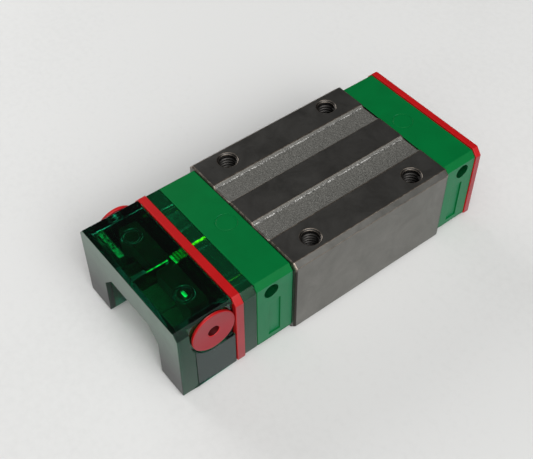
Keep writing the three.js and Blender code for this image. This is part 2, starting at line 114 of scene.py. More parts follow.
OUTLINE_CORNER = 0.25
PLATE_BEVEL = (1.1, 1.3)
SEAL_BEVEL = (1.3, 1.6)
CAP_EDGE = 0.22
SEAL_EDGE = 0.16
PLATE_EDGE = 0.15
TANK_EDGE = 0.15
FEED_EDGE = 0.1
SEAL_CHAMFER = 0.45
SEAL_CORNER = 0.3
CAVITY_CORNER = 0.4
TANK_BEVEL = (1.1, 1.4)
PLATE_CHANNEL = 7.9
PLATE_ROOF = -8.5
PLATE_SHOULDER = 1.2
NOSE_HALF = 0.75
NOSE_BASE = 1.5
CAP_NOSE_X = 7.1
SEAL_NOSE_X = 6.85

PORT_RADIUS = 1.6
PORT_Z = -3.8
PORT_INSET = 5.05
PORT_DEPTH = 4.5
PANEL_NEAR = 2.9
PANEL_FAR = 5.6
PANEL_TOP = -7.05
PANEL_BOTTOM = -17.0
PANEL_DEPTH = 0.35
TURN_DEPTH = 4.3
MARK_INSET = 3.25
MARK_RADIUS = 2.3
MARK_GROOVE = 0.4
MARK_DEPTH = 0.05

END_SCREW_X = 11.0
END_SCREW_Z = -4.4
END_SCREW_RADIUS = 0.95
END_HEAD_RADIUS = 1.8
END_PORT_Z = -3.9
END_PORT_RADIUS = 2.1
CAP_PORT_RADIUS = 2.0
CAP_PORT_DEPTH = 5.05
PLATE_PORT_RADIUS = 1.35
SCREW_POINT = 0.3
SCREW_LEAD = 0.4
HEAD_HEIGHT = 0.8
HEAD_DOME = 0.45
HEAD_RIM = 0.08
RECESS_LENGTH = 0.95
RECESS_WIDTH = 0.22
RECESS_DEPTH = 0.5
SOCKET_RADIUS = 0.98
SOCKET_DEPTH = 1.5

TANK_WALL = 1.2
TANK_SIDE_WALL = 1.6
TANK_CHANNEL = 9.05
TANK_ROOF = -7.1
TANK_CORNER_X = 6.2
TANK_CORNER_Z = -10.3
RIB_HALF = 0.4
RIB_DEPTH = 9.2
RIB_STEP = 4.2
RIB_CREST = -2.05
CREST_HALF = 0.16
CREST_SLOPE = 0.5
BOSS_X = 8.6
BOSS_Y = -38.7
BOSS_RADIUS = 2.0
BOSS_INNER = 1.5
BOSS_DEPTH = 0.35
TAB_X = 0.7
TAB_Y = 0.3
BAR_X = (-14.0, -5.6)
BAR_Y = (-43.4, -42.3)
BAR_DEPTH = 0.3
NOZZLE_TIP_RADIUS = 1.3
NOZZLE_TIP_EDGE = (0.25, 0.3)
NOZZLE_BORE = 0.5
NOZZLE_BANDS = 4
BAND_DEPTH = 0.25
BAND_START = 0.45
BAND_SHARE = 0.1
PANEL_FRONT = 3.6
PANEL_STEP = 0.07
SLOT_HALF = 0.2
SLOT_LENGTH = 2.5
SLOT_TOP = -1.5
SLOT_BOTTOM = -2.2
PLUG_RADIUS = 4.65
PLUG_DISC = 0.65
PLUG_RIM = 0.16
PLUG_EDGE = 0.12
PLUG_DISH = 0.035
PLUG_DISH_RIM = 0.5
PLUG_HOLE = 1.2
PLUG_HOLE_DEPTH = 2.2
PLUG_HOLE_CORNER = 0.15
SPIGOT_RADIUS = 2.0
SPIGOT_LEAD = 0.35
SPIGOT_NECK = 0.15
SPIGOT_DEPTH = 3.0
POCKET_MARGIN = 0.47
POCKET_DEPTH = 0.7
PLUG_Y = (PLUG_LOW.y + PLUG_HIGH.y) / 2
PLUG_Z = (PLUG_LOW.z + PLUG_HIGH.z) / 2

# ---- outlines


def arc(cx, cz, radius, start, end, steps):
    """Points on an arc, angles in degrees, both ends included."""
    points = []
    for i in range(steps + 1):
        angle = math.radians(start + (end - start) * i / steps)
        points.append((cx + radius * math.cos(angle), cz + radius * math.sin(angle)))
    return points


def mirrored(half):
    """A closed outline symmetric about x = 0, from its +x half, top to bottom."""
    return half + [(-x, z) for x, z in reversed(half)]


def filleted(points, radius, steps=4, sharpest=25):
    """The outline with each corner that turns by more than sharpest degrees rounded off."""
    made = []
    count = len(points)
    for i, point in enumerate(points):
        here = Vector(point)
        before = Vector(points[i - 1]) - here
        after = Vector(points[(i + 1) % count]) - here
        turn = math.pi - before.angle(after)
        if turn < math.radians(sharpest):
            made.append(tuple(here))
            continue
        cut = radius * math.tan(turn / 2)
        cut = min(cut, before.length * 0.45, after.length * 0.45)
        start = here + before.normalized() * cut
        end = here + after.normalized() * cut
        for k in range(steps + 1):
            t = k / steps
            made.append(tuple(start.lerp(here, t).lerp(here.lerp(end, t), t)))
    return made


def channel_wall(nose_x, bottom):
    """The right-hand wall of the rail channel, from its foot to its roof."""
    wall = [(PLATE_CHANNEL, bottom)]
    for z in (LOWER_Z, UPPER_Z):
        wall += [
            (PLATE_CHANNEL, z - NOSE_BASE),
            (nose_x, z - NOSE_HALF),
            (nose_x, z + NOSE_HALF),
            (PLATE_CHANNEL, z + NOSE_BASE),
        ]
    wall.append((PLATE_CHANNEL - PLATE_SHOULDER, PLATE_ROOF))
    return wall


def plate_outline(low, high, bevel, nose_x, corner=OUTLINE_CORNER):
    """The U-shaped outline of a cap, seal or connector plate that fills the box low to high."""
    half = [
        (high.x - bevel[0], high.z),
        (high.x, high.z - bevel[1]),
        (high.x, low.z),
        *channel_wall(nose_x, low.z),
    ]
    return filleted(mirrored(half), corner)


def block_outline():
    reach = math.degrees(math.acos((CHANNEL_HALF - LOAD_X) / RACEWAY_RADIUS))
    half = [
        (LAND_INNER, 0),
        (LAND_INNER + GROOVE_SLOPE - FOOT_WALL, FOOT_RISE - GROOVE_DEPTH),
        (LAND_INNER + GROOVE_SLOPE + FOOT_FLOOR, -GROOVE_DEPTH),
        (LAND_OUTER - GROOVE_SLOPE - FOOT_FLOOR, -GROOVE_DEPTH),
        (LAND_OUTER - GROOVE_SLOPE + FOOT_WALL, FOOT_RISE - GROOVE_DEPTH),
        (LAND_OUTER, 0),
        (BLOCK_HIGH.x - EDGE_BEVEL, 0),
        (BLOCK_HIGH.x, -EDGE_BEVEL),
        (BLOCK_HIGH.x, BLOCK_LOW.z + EDGE_BEVEL),
        (BLOCK_HIGH.x - EDGE_BEVEL, BLOCK_LOW.z),
        (LEG_STEP_X, BLOCK_LOW.z),
        (LEG_STEP_X, LEG_STEP_Z),
        (CHANNEL_HALF, LEG_STEP_Z),
        *arc(LOAD_X, LOWER_Z, RACEWAY_RADIUS, -reach, reach, 14),
        *arc(LOAD_X, UPPER_Z, RACEWAY_RADIUS, -reach, reach, 14),
        (CHANNEL_HALF, CHANNEL_TOP),
    ]
    return mirrored(half)


def tank_outline(inset=0.0, side_inset=0.0):
    """The cartridge's outline, drawn in by inset all round and by side_inset at its sides."""
    return mirrored([
        (TANK_HIGH.x - TANK_BEVEL[0] - side_inset, TANK_HIGH.z - inset),
        (TANK_HIGH.x - side_inset, TANK_HIGH.z - TANK_BEVEL[1] - inset),
        (TANK_HIGH.x - side_inset, TANK_LOW.z + inset),
        (TANK_CHANNEL + inset, TANK_LOW.z + inset),
        (TANK_CHANNEL + inset, TANK_CORNER_Z + inset / 2),
        (TANK_CORNER_X + inset / 2, TANK_ROOF + inset),
    ])


# ---- mesh helpers


def skin(bm, rings):
    """Joins rings of vertices, all with the same number, into a closed solid."""
    bm.faces.new(rings[0])
    bm.faces.new(list(reversed(rings[-1])))
    for first, second in zip(rings, rings[1:]):
        for i in range(len(first)):
            bm.faces.new((first[i], first[i - 1], second[i - 1], second[i]))
    return bm


def loft(bm, *sections, axis=1):
    """Adds a solid through (place, outline) sections that have the same number of points.

    place counts along axis 0, 1 or 2, and an outline's pairs are the other two coordinates.
    """
    rings = []
    for place, outline in sections:
        spots = [(*pair[:axis], place, *pair[axis:]) for pair in outline]
        rings.append([bm.verts.new([c * MM for c in spot]) for spot in spots])
    return skin(bm, rings)


def prism(bm, outline, y0, y1):
    """Adds an x-z outline made solid from y0 to y1."""
    return loft(bm, (y0, outline), (y1, outline))


def turned(bm, profile, place, axis="Y", segments=32, hollow=False):
    """Adds a solid turned from (radius, height) pairs about a line through place along axis.

    The profile runs from one point on the axis to another. Heights count from place. Where
    hollow, the profile is a closed outline that stands clear of the axis.
    """
    turn = {
        "X": Matrix(((0, 0, 1), (1, 0, 0), (0, 1, 0))),
        "-X": Matrix(((0, 0, -1), (1, 0, 0), (0, -1, 0))),
        "Y": Matrix(((0, 1, 0), (0, 0, 1), (1, 0, 0))),
        "-Y": Matrix(((0, -1, 0), (0, 0, -1), (1, 0, 0))),
        "Z": Matrix(((1, 0, 0), (0, 1, 0), (0, 0, 1))),
    }[axis]
    rings = []
    for radius, height in profile:
        angles = [math.tau * k / segments for k in range(segments if radius > 0 else 1)]
        spots = [Vector((radius * math.cos(a), radius * math.sin(a), height)) for a in angles]
        rings.append([bm.verts.new((Vector(place) + turn @ s) * MM) for s in spots])
    if hollow:
        rings.append(rings[0])
    for first, second in zip(rings, rings[1:]):
        for k in range(segments):
            n = (k + 1) % segments
            corners = [first[k % len(first)], first[n % len(first)]]
            corners += [second[n % len(second)], second[k % len(second)]]
            unique = list(dict.fromkeys(corners))
            if len(unique) > 2:
                bm.faces.new(unique)
    return bm


def block_between(bm, first, second):
    """Adds a box from two opposite corners."""
    x, y, z = (sorted(pair) for pair in zip(first, second))
    return prism(bm, [(x[0], z[0]), (x[1], z[0]), (x[1], z[1]), (x[0], z[1])], *y)


def box(first, second):
    """A box of its own, ready to be cut out of a piece or added to it."""
    return block_between(bmesh.new(), first, second)


def drill(bm, place, axis, radius, length, segments=32):
    """Adds a plain round cutter that starts at place and runs along axis."""
    return turned(bm, [(0, 0), (radius, 0), (radius, length), (0, length)], place, axis, segments)


def toward(axis, side):
    """The name of the axis that points to the + or - side."""
    return axis if side > 0 else "-" + axis


def through(bm, x, z, radius, low, high, segments):
    """Adds a round cutter along Y, through a piece that fills low to high."""
    return drill(bm, (x, low.y - PAST, z), "Y", radius, high.y - low.y + 2 * PAST, segments)


def screw_holes(bm, low, high):
    """Adds the cutters of the two end screws' holes, through a piece that fills low to high."""
    for side in (-1, 1):
        through(bm, side * END_SCREW_X, END_SCREW_Z, END_SCREW_RADIUS + GAP, low, high, 24)


def make(name, bm):
    bmesh.ops.recalc_face_normals(bm, faces=bm.faces)
    mesh = bpy.data.meshes.new(name)
    bm.to_mesh(mesh)
    bm.free()
    piece = bpy.data.objects.new(name, mesh)
    bpy.context.scene.collection.objects.link(piece)
    return piece


def combine(piece, other_bm, operation):
    """Cuts or joins a temporary solid and leaves the result as the piece's own mesh."""
    other = make("temporary_solid", other_bm)
    modifier = piece.modifiers.new("combine", "BOOLEAN")
    modifier.object = other
    modifier.operation = operation
    modifier.solver = "EXACT"
    graph = bpy.context.evaluated_depsgraph_get()
    result = bpy.data.meshes.new_from_object(piece.evaluated_get(graph))
    piece.modifiers.clear()
    old = piece.data
    piece.data = result
    bpy.data.meshes.remove(old)
    bpy.data.objects.remove(other)
    return piece


def cut(piece, bm):
    return combine(piece, bm, "DIFFERENCE")


def add(piece, bm):
    return combine(piece, bm, "UNION")


def soften(piece, width, segments=2, weight=None, edge_material=None, angle=28):
    """Rounds every edge sharper than angle. weight(middle) scales the width, 0 to 1.

    The rounded edges take the material whose index is given for them, if any.
    """
    bm = bmesh.new()
    bm.from_mesh(piece.data)
    bmesh.ops.remove_doubles(bm, verts=bm.verts, dist=1e-7)
    bmesh.ops.dissolve_degenerate(bm, edges=bm.edges, dist=1e-7)
    layer = bm.edges.layers.float.get("bevel_weight_edge")
    layer = layer or bm.edges.layers.float.new("bevel_weight_edge")
    for edge in bm.edges:
        sharp = len(edge.link_faces) == 2 and edge.calc_face_angle(0) > math.radians(angle)
        edge[layer] = 0.0
        if sharp:
            middle = (edge.verts[0].co + edge.verts[1].co) / 2 / MM
            edge[layer] = weight(middle) if weight else 1.0
    for face in bm.faces:
        face.smooth = True
    bm.to_mesh(piece.data)
    bm.free()
    bevel = piece.modifiers.new("soften", "BEVEL")
    bevel.limit_method = "WEIGHT"
    bevel.width = width * MM
    bevel.segments = segments
    bevel.use_clamp_overlap = False
    bevel.harden_normals = True
    bevel.miter_outer = "MITER_ARC"
    if edge_material is not None:
        bevel.material = edge_material
    return piece


def smooth_by_angle(piece, degrees=32):
    for polygon in piece.data.polygons:
        polygon.use_smooth = True
    piece.data.set_sharp_from_angle(angle=math.radians(degrees))
    return piece


def paint(piece, materials, rule=None):
    """Gives the piece its materials. rule(middle, normal) picks one by its place in the list."""
    piece.data.materials.clear()
    for material in materials:
        piece.data.materials.append(material)
    for polygon in piece.data.polygons:
        polygon.material_index = rule(polygon.center / MM, polygon.normal) if rule else 0
    return piece


def settle(piece, body, slot, *nodes):
    """Hands the finished piece to the frame: what it rides on and what it stands for. The slot,
    its finish, is not used.
    """
    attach(piece, body)
    if nodes:
        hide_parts(*nodes)
    return piece


# ---- material helpers


class Finish:
    """A node material with one Principled shader, and short calls for what feeds it."""

    def __init__(self, name, **sockets):
        self.material = bpy.data.materials.new(name)
        self.material.use_nodes = True
        self.tree = self.material.node_tree
        self.shader = self.tree.nodes["Principled BSDF"]
        self.place = self.tree.nodes.new("ShaderNodeTexCoord").outputs["Object"]
        for socket, value in sockets.items():
            label = socket.replace("_", " ").title().replace("Ior", "IOR")
            self.shader.inputs[label].default_value = value

    def feed(self, socket, value):
        """Links a node's output to the socket, or sets the socket's own value."""
        if isinstance(value, bpy.types.NodeSocket):
            self.tree.links.new(value, socket)
        else:
            socket.default_value = value

    def node(self, kind, inputs=(), **settings):
        made = self.tree.nodes.new(kind)
        for name, value in settings.items():
            setattr(made, name, value)
        for name, value in dict(inputs).items():
            self.feed(made.inputs[name], value)
        return made

    def link(self, output, name):
        self.tree.links.new(output, self.shader.inputs[name])

    def colour(self, output):
        self.link(output, "Base Color")

    def rough(self, value, low, high, smoothest, roughest):
        self.link(self.range(value, low, high, smoothest, roughest), "Roughness")

    def stretched(self, scale):
        """The object's own coordinates, stretched by scale per axis."""
        made = self.node("ShaderNodeMapping", {"Vector": self.place, "Scale": scale})
        return made.outputs["Vector"]

    def noise(self, size, detail=3.0, rough=0.55, vector=None, distortion=0.0):
        """Noise with features about size millimetres across."""
        inputs = {"Vector": vector or self.place, "Scale": 1 / (size * MM), "Detail": detail}
        inputs |= {"Roughness": rough, "Distortion": distortion}
        return self.node("ShaderNodeTexNoise", inputs).outputs["Fac"]

    def cells(self, size):
        inputs = {"Vector": self.place, "Scale": 1 / (size * MM)}
        return self.node("ShaderNodeTexVoronoi", inputs).outputs["Distance"]

    def ramp(self, value, stops):
        """A colour ramp from (position, colour or grey) stops."""
        made = self.node("ShaderNodeValToRGB", {"Fac": value})
        elements = made.color_ramp.elements
        while len(elements) < len(stops):
            elements.new(0.5)
        for element, (position, colour) in zip(elements, stops):
            if isinstance(colour, (int, float)):
                colour = (colour, colour, colour)
            element.position = position
            element.color = (*colour, 1)
        return made.outputs["Color"]

    def height(self, axis="Z"):
        """The place along one of the object's axes, in metres."""
        return self.node("ShaderNodeSeparateXYZ", {"Vector": self.place}).outputs[axis]

    def range(self, value, low, high, to_low, to_high):
        inputs = {"Value": value, "From Min": low, "From Max": high}
        inputs |= {"To Min": to_low, "To Max": to_high}
        return self.node("ShaderNodeMapRange", inputs).outputs["Result"]

    def sum(self, first, second, weight=1.0):
        inputs = {0: second, 1: weight, 2: first}
        return self.node("ShaderNodeMath", inputs, operation="MULTIPLY_ADD").outputs["Value"]

    def mix(self, factor, first, second):
        made = self.node("ShaderNodeMix", data_type="RGBA")
        for index, value in ((0, factor), (6, first), (7, second)):
            self.feed(made.inputs[index], (*value, 1) if isinstance(value, tuple) else value)
        return made.outputs[2]

    def bump(self, height, depth):
        """Bump from a height of 0 to 1 that stands for depth millimetres."""
        made = self.node("ShaderNodeBump", {"Height": height, "Distance": depth * MM})
        self.link(made.outputs["Normal"], "Normal")


# ---- materials


def ground_steel(name, dark, light, rough):
    """Dark ground steel: fine grinding lines along Y, faint stains and a little scuffing."""
    finish = Finish(name, metallic=0.92)
    lines = finish.noise(0.05, 2, 0.6, finish.stretched((1, 0.04, 1)))
    stains = finish.noise(6, 4, 0.6, distortion=0.6)
    scuffs = finish.noise(0.7, 5, 0.75)
    base = finish.ramp(stains, [(0.3, dark), (0.7, light)])
    speck = finish.ramp(scuffs, [(0.62, 0.0), (0.8, 0.22)])
    colour = finish.mix(speck, base, (light[0] * 1.8, light[1] * 1.75, light[2] * 1.65))
    finish.colour(colour)
    texture = finish.sum(lines, scuffs, 0.5)
    finish.rough(texture, 0.3, 1.1, rough - 0.07, rough + 0.1)
    finish.bump(lines, 0.0035)
    return finish.material


def rough_groove(name, dark, light):
    """The unground, sand-coarse steel of the top grooves, with bright grains painted in as glints.
    """
    finish = Finish(name, metallic=0.55)
    grain = finish.noise(0.25, 4, 0.75)
    coarse = finish.noise(0.7, 3, 0.6)
    stains = finish.noise(5, 3, 0.6)
    cells = finish.cells(0.42)
    middle = tuple((a + b) / 2.4 for a, b in zip(dark, light))
    base = finish.ramp(grain, [(0.35, dark), (0.65, light)])
    tinted = finish.mix(finish.range(stains, 0.35, 0.65, 0.0, 0.35), base, middle)
    # Painted glints: small bright spots at the cell centres.
    sparkle = finish.ramp(cells, [(0.08, 0.5), (0.18, 0.0)])
    finish.colour(finish.mix(sparkle, tinted, (0.6, 0.59, 0.56)))
    finish.rough(grain, 0.2, 0.8, 0.5, 0.75)
    finish.bump(finish.sum(grain, coarse, 0.8), 0.08)
    return finish.material


def groove_foot():
    """Painted highlight: a speckled bright line along the foot of each groove wall that faces +x.
    """
    finish = Finish("groove_foot_painted_glint", metallic=0.85)
    specks = finish.noise(0.3, 3, 0.75)
    patches = finish.noise(2.2, 3, 0.6)
    lit = finish.sum(specks, patches, 0.4)
    finish.colour(finish.ramp(lit, [(0.68, (0.15, 0.148, 0.14)), (0.78, (0.9, 0.89, 0.85))]))
    finish.rough(specks, 0.3, 0.7, 0.5, 0.3)
    finish.bump(specks, 0.06)
    return finish.material


def worn_and_reflecting_edge_steel():
    """The rubbed brownish chamfers of the block; below the ground top they go near black, a
    painted dark reflection.
    """
    finish = Finish("worn_edge_steel_painted_reflection", metallic=0.95)
    wear = finish.noise(0.5, 4, 0.7, finish.stretched((1, 0.35, 1)))
    base = finish.ramp(wear, [(0.3, (0.1, 0.084, 0.07)), (0.65, (0.25, 0.215, 0.18))])
    # Painted reflection: the chamfers go near black below the ground top.
    below = finish.range(finish.height(), -1.3 * MM, -2.0 * MM, 0.0, 0.9)
    finish.colour(finish.mix(below, base, (0.02, 0.018, 0.016)))
    finish.rough(wear, 0.3, 0.7, 0.3, 0.48)
    finish.bump(wear, 0.01)
    return finish.material


def polished_steel():
    finish = Finish("ball_steel", metallic=1.0)
    haze = finish.noise(1.2, 4, 0.6)
    base = finish.ramp(haze, [(0.3, (0.6, 0.61, 0.63)), (0.7, (0.75, 0.76, 0.78))])
    finish.colour(base)
    finish.rough(haze, 0.3, 0.7, 0.06, 0.13)
    finish.bump(finish.noise(0.1, 2), 0.0004)
    return finish.material


def dark_screw_steel():
    finish = Finish("blackened_screw_steel", metallic=0.85)
    haze = finish.noise(0.4, 4, 0.65)
    base = finish.ramp(haze, [(0.35, (0.035, 0.036, 0.04)), (0.7, (0.11, 0.11, 0.115))])
    finish.colour(base)
    finish.rough(haze, 0.3, 0.7, 0.28, 0.45)
    finish.bump(haze, 0.006)
    return finish.material


def moulded(name, dark, light, rough, texture=0.004, gloss=0.5):
    """Opaque moulded plastic: slow flow shading, fine mould texture and faint scratches."""
    finish = Finish(name, specular_ior_level=gloss)
    flow = finish.noise(7, 3, 0.5, distortion=0.8)
    grain = finish.noise(0.12, 3, 0.6)
    scratches = finish.noise(0.35, 5, 0.8, finish.stretched((1, 0.12, 1)))
    finish.colour(finish.ramp(flow, [(0.3, dark), (0.7, light)]))
    marks = finish.range(scratches, 0.55, 0.75, 0.0, 0.12)
    satin = finish.range(grain, 0.3, 0.7, rough - 0.05, rough + 0.05)
    finish.link(finish.sum(satin, marks), "Roughness")
    finish.bump(finish.sum(grain, flow, 0.6), texture)
    return finish.material


def clear_plastic(name, tint, rough, clear=1.0, ripple=0.012, fade=None, glow=None, **sockets):
    """Dyed clear plastic. tint is what a whole wall lets through, clear is 1 minus its haze.

    fade is (axis, start, end, share): between two places in millimetres the colour falls to
    a share of itself: painted shade at the channel wall's front end, and darker towards the
    bottom on the front face.
    glow is (colour, size, stretch, dimmest, strength): a painted glow, emission in patches of
    that size from dimmest to 1 times the colour, for light the dyed plastic gathers at an edge.
    """
    finish = Finish(name, transmission_weight=clear, ior=1.5, **sockets)
    ripples = finish.noise(2.5, 3, 0.5, distortion=0.4)
    grain = finish.noise(0.3, 3, 0.6)
    base = finish.ramp(ripples, [(0.3, tuple(c * 0.8 for c in tint)), (0.7, tint)])
    if fade:
        axis, start, end, share = fade
        faded = finish.range(finish.height(axis), start * MM, end * MM, 0.0, 1.0)
        base = finish.mix(faded, base, tuple(c * share for c in tint))
    if glow:
        colour, size, stretch, dimmest, strength = glow
        patches = finish.noise(size, 2, 0.5, finish.stretched(stretch))
        stops = [(0.4, tuple(c * dimmest for c in colour)), (0.6, colour)]
        finish.link(finish.ramp(patches, stops), "Emission Color")
        finish.shader.inputs["Emission Strength"].default_value = strength
    finish.colour(base)
    finish.rough(grain, 0.3, 0.7, rough, rough + 0.06)
    finish.bump(finish.sum(ripples, grain, 0.3), ripple)
    return finish.material


def felt():
    finish = Finish("oiled_felt", sheen_weight=0.25, sheen_roughness=0.5)
    fibres = finish.noise(0.12, 5, 0.7, finish.stretched((1, 0.4, 0.6)))
    patches = finish.noise(1.6, 3, 0.6)
    base = finish.ramp(fibres, [(0.3, (0.035, 0.03, 0.018)), (0.7, (0.1, 0.085, 0.05))])
    oiled = finish.range(patches, 0.3, 0.7, 0, 0.6)
    finish.colour(finish.mix(oiled, base, (0.05, 0.045, 0.03)))
    finish.rough(fibres, 0.3, 0.7, 0.45, 0.85)
    finish.bump(fibres, 0.06)
    return finish.material


def pale_floor():
    finish = Finish("pale_floor", roughness=0.55)
    fine = finish.noise(1.5, 4, 0.6)
    slow = finish.noise(60, 2, 0.5)
    stops = [(0.6, (0.63, 0.63, 0.624)), (1.4, (0.66, 0.66, 0.654))]
    finish.colour(finish.ramp(finish.sum(fine, slow), stops))
    finish.bump(fine, 0.01)
    return finish.material


LAND = ground_steel("ground_land_steel", (0.12, 0.116, 0.108), (0.2, 0.194, 0.182), 0.3)
SIDE = ground_steel("side_steel", (0.15, 0.147, 0.136), (0.2, 0.196, 0.182), 0.34)
# A darker copy of the block's ground steel for its long 45-degree bevel faces: painted shade.
SHADED_LONG_BEVEL = ground_steel("long_bevel_steel_painted_shade", (0.09, 0.088, 0.081), (0.15, 0.146, 0.136), 0.34)
GROOVE = rough_groove("groove_steel", (0.055, 0.054, 0.049), (0.21, 0.206, 0.188))
# A lighter copy of the groove steel for each groove wall that faces +x: painted light.
LIT_GROOVE_WALL = rough_groove("groove_wall_steel_painted_light", (0.07, 0.068, 0.062), (0.24, 0.235, 0.216))
WORN_EDGE_AND_REFLECTION = worn_and_reflecting_edge_steel()
BRIGHT = polished_steel()
SCREW = dark_screw_steel()
GREEN = moulded(
    "green_plastic", (0.0, 0.108, 0.0235), (0.0, 0.122, 0.0267), 0.42, gloss=0.1
)
# A bluer, glossier copy of the cap green for the caps' side faces: painted sheen.
GREEN_SIDE_SHEEN = moulded(
    "green_plastic_side_painted_sheen", (0.002, 0.105, 0.038), (0.003, 0.119, 0.044), 0.42, gloss=0.31
)
# A much darker copy of the cap green for the inside of the side ports: painted shade.
SHADED_PORT_GREEN = moulded("green_port_painted_shade", (0.0, 0.03, 0.008), (0.0, 0.05, 0.013), 0.3)
RED = moulded(
    "red_plastic", (0.35, 0.003, 0.004), (0.415, 0.005, 0.006), 0.38, gloss=0.3
)
# A darker, pinker copy of the seal red for the seals' side faces: painted shade and sheen.
RED_SEAL_SIDE_SHADE = moulded("red_seal_side_painted_shade_and_sheen", (0.215, 0.014, 0.02), (0.25, 0.017, 0.024), 0.4, 0.006)
# A darker copy of the plug red for its flat faces, while its rim keeps the brighter red: painted
# shade.
RED_PLUG_FACE_SHADE = moulded("red_plug_face_painted_shade", (0.187, 0.004, 0.01), (0.22, 0.005, 0.013), 0.42, 0.006)
RED_SHADE = moulded(
    "red_plug_hole", (0.04, 0.0005, 0.001), (0.05, 0.001, 0.0015), 0.6, gloss=0.1
)
BLACK = moulded("black_plastic", (0.012, 0.013, 0.014), (0.03, 0.031, 0.033), 0.45)
SEAL_BLACK = moulded("dust_seal_rubber", (0.014, 0.014, 0.014), (0.028, 0.028, 0.027), 0.6, 0.01)
DULL_GLOSS = (0.4, 0.5, 0.45, 1)
GREY_GLOSS = (0.8, 0.85, 0.85, 1)
EVEN = (1, 1, 1)
TANK_GREEN = clear_plastic("dark_translucent_green", (0.008, 0.42, 0.2), 0.04)
# Dark at its front end, where the front wall would otherwise show it as a lit band.
CHANNEL_GREEN = clear_plastic(
    "channel_wall_green",
    (0.012, 0.75, 0.36),
    0.06,
    fade=("Y", TANK_LOW.y + TANK_WALL + 0.2, TANK_LOW.y + TANK_WALL - 0.1, 0.01),
)
# A dark tint on the cartridge's bottom faces: painted shade.
SHADED_FOOT_GREEN = clear_plastic("green_foot_painted_shade", (0.001, 0.03, 0.014), 0.2)
# The cartridge's front face: a pale grey-green diffuse haze that stands in for the floor's
# reflection, painted reflection, fading darker towards the bottom.
FROSTED_FACE_REFLECTION = clear_plastic(
    "frosted_green_face_painted_reflection", (0.1, 0.17, 0.125), 0.3, 0.12, 0.02, fade=("Z", -3, -15, 0.02)
)
# The two hazed greens below, for the sides of the cartridge and of the connector: a grey-green
# haze that stands in for the floor's reflection, painted sheen.
HAZED_SIDE_SHEEN = clear_plastic(
    "hazed_green_side_painted_sheen", (0.022, 0.046, 0.042), 0.22, 0.6, specular_tint=GREY_GLOSS
)
HAZED_STRIP_SHEEN = clear_plastic(
    "hazed_green_strip_painted_sheen", (0.012, 0.09, 0.05), 0.2, 0.75, specular_tint=DULL_GLOSS
)
# A dark tint on the cartridge's top side bevel faces, so they show no lit lines: painted shade.
HAZED_BEVEL_SHADE = clear_plastic(
    "hazed_green_bevel_painted_shade", (0.008, 0.05, 0.03), 0.14, 0.9, specular_tint=DULL_GLOSS
)
DENSE_GREEN = clear_plastic("dense_translucent_green", (0.006, 0.24, 0.08), 0.08, 0.9)
# The underside of the bar beneath the ceiling glows green in patches: painted glow.
BAR_GLOW_GREEN = clear_plastic(
    "green_bar_painted_glow", (0.008, 0.42, 0.15), 0.2, 0.9, glow=((0.0, 0.4, 0.08), 0.9, EVEN, 0.0, 0.8)
)
FEED = (0.01, 0.8, 0.16)
FEED_GLOW = (0.0, 0.85, 0.14)
# The nozzle's top faces glow green in patches: painted glow.
FEED_TOP_GLOW_GREEN = clear_plastic(
    "feed_barrel_top_painted_glow", FEED, 0.15, 0.25, glow=(FEED_GLOW, 0.6, EVEN, 0.5, 1.6)
)
# The rib's crest and the boss posts glow green in streaks: painted glow.
CREST_AND_BOSS_GLOW_GREEN = clear_plastic(
    "crest_and_boss_painted_glow", FEED, 0.15, 0.25, glow=(FEED_GLOW, 0.5, (0.12, 1, 0.12), 0.2, 2.4)
)
LIT_GLOW = (0.45, 0.9, 0.0)
LIT_GREEN = clear_plastic(
    "lit_yellow_green_edge", (0.3, 0.95, 0.02), 0.2, 0.1, glow=(LIT_GLOW, 0.6, EVEN, 0.2, 3.0)
)
# A much darker copy of the ground steel for the mounting holes and their thread coils: painted
# shade in the holes.
SHADED_BORE = ground_steel("bore_steel_painted_shade", (0.018, 0.017, 0.016), (0.04, 0.038, 0.036), 0.42)
# Painted highlight along the foot of each groove wall that faces +x.
FOOT_GLINT = groove_foot()
FELT = felt()

# ---- steel block


def thread(bm, x, y):
    """Adds the ridge of an internal screw thread in one mounting hole, as a closed coil."""
    steps = 36
    turns = (HOLE_DEPTH - THREAD_RUNOUT) / THREAD_PITCH
    root = HOLE_RADIUS + GAP
    section = [
        (root, -THREAD_ROOT_HALF),
        (THREAD_CREST, -THREAD_CREST_HALF),
        (THREAD_CREST, THREAD_CREST_HALF),
        (root, THREAD_ROOT_HALF),
    ]
    rings = []
    for i in range(int(turns * steps) + 1):
        angle = math.tau * i / steps
        drop = -THREAD_TOP - THREAD_PITCH * i / steps
        fade = min(1.0, i / steps, turns - i / steps) if i else 0.0
        ring = []
        for radius, height in section:
            reach = root + (radius - root) * max(fade, THREAD_THINNEST)
            spot = (x + reach * math.cos(angle), y + reach * math.sin(angle), drop + height)
            ring.append(bm.verts.new(Vector(spot) * MM))
        rings.append(ring)
    skin(bm, rings)


def from_hole(middle):
    """How far a place is from the middle line of the nearest mounting hole."""
    return math.hypot(abs(middle.x) - HOLE_OFFSET, abs(middle.y) - HOLE_OFFSET)


def block_rule(middle, normal):
    """Picks the finish of a face of the block from where it is."""
    lands, sides, grooves, shaded_bores, foot_glints, lit_walls, shaded_bevels = 0, 1, 2, 4, 5, 6, 7
    # The mounting holes take the dark hole steel: painted shade.
    if from_hole(middle) < HOLE_MOUTH and middle.z < -ON_FACE:
        return shaded_bores
    if LAND_INNER < abs(middle.x) < LAND_OUTER and middle.z > -GROOVE_DEPTH - GAP:
        # Each groove wall that faces +x takes the lighter steel and the bright foot line: painted
        # light.
        if normal.x < 0.2:
            return grooves
        return foot_glints if middle.z < FOOT_RISE - GROOVE_DEPTH else lit_walls
    if middle.z > -ON_FACE:
        return lands
    # The long bevel faces take the darker steel: painted shade.
    return shaded_bevels if normal.z > 0.5 and abs(middle.x) > HOLE_OFFSET else sides


